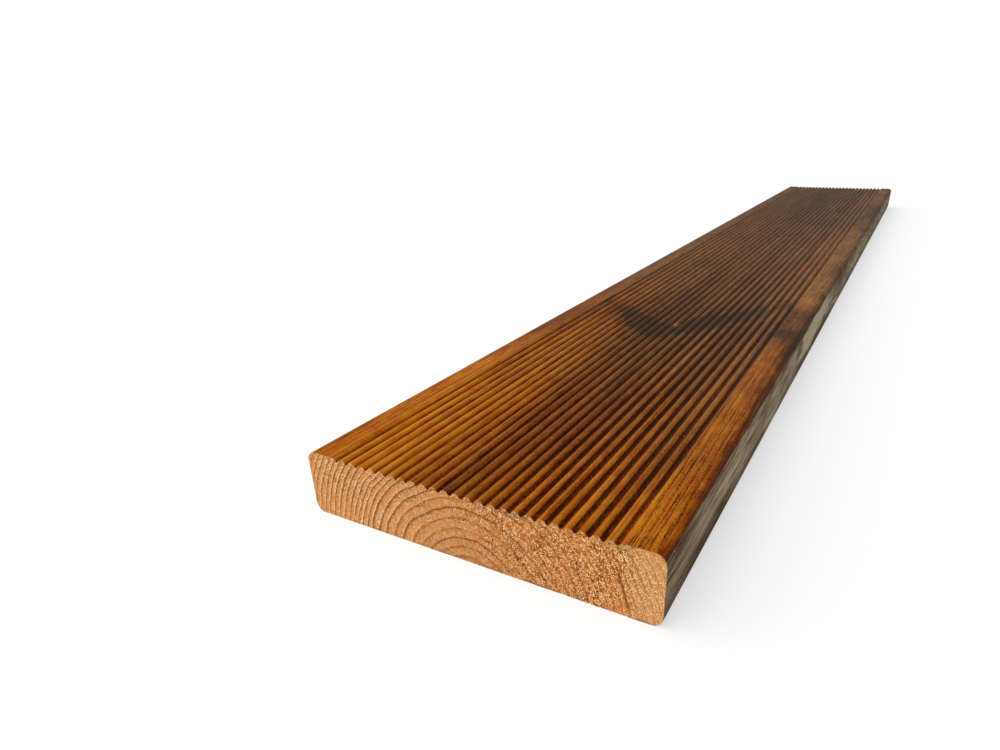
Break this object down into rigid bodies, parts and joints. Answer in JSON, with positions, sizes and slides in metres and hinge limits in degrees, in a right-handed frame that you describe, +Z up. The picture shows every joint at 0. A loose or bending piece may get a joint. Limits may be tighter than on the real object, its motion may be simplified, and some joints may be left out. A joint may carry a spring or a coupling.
{
  "type": "decking board",
  "caption": "Ribbed softwood decking board: a flat length with rounded ribs along its upper face between plain shoulders, a smooth underside, rounded long edges and square-sawn ends.",
  "frame": {"origin": "centre of the underside", "axes": "+Z up, out of the ribbed face; +Y along the board, away from the end that the picture shows; +X across the board, to the right seen from that end"},
  "size_m": [0.145, 1, 0.027],
  "materials": {
    "oiled_softwood": "oiled, with bare sawn ends"
  },
  "bodies": {
    "root": {"decking_board": "oiled_softwood"}
  },
  "joints": []
}
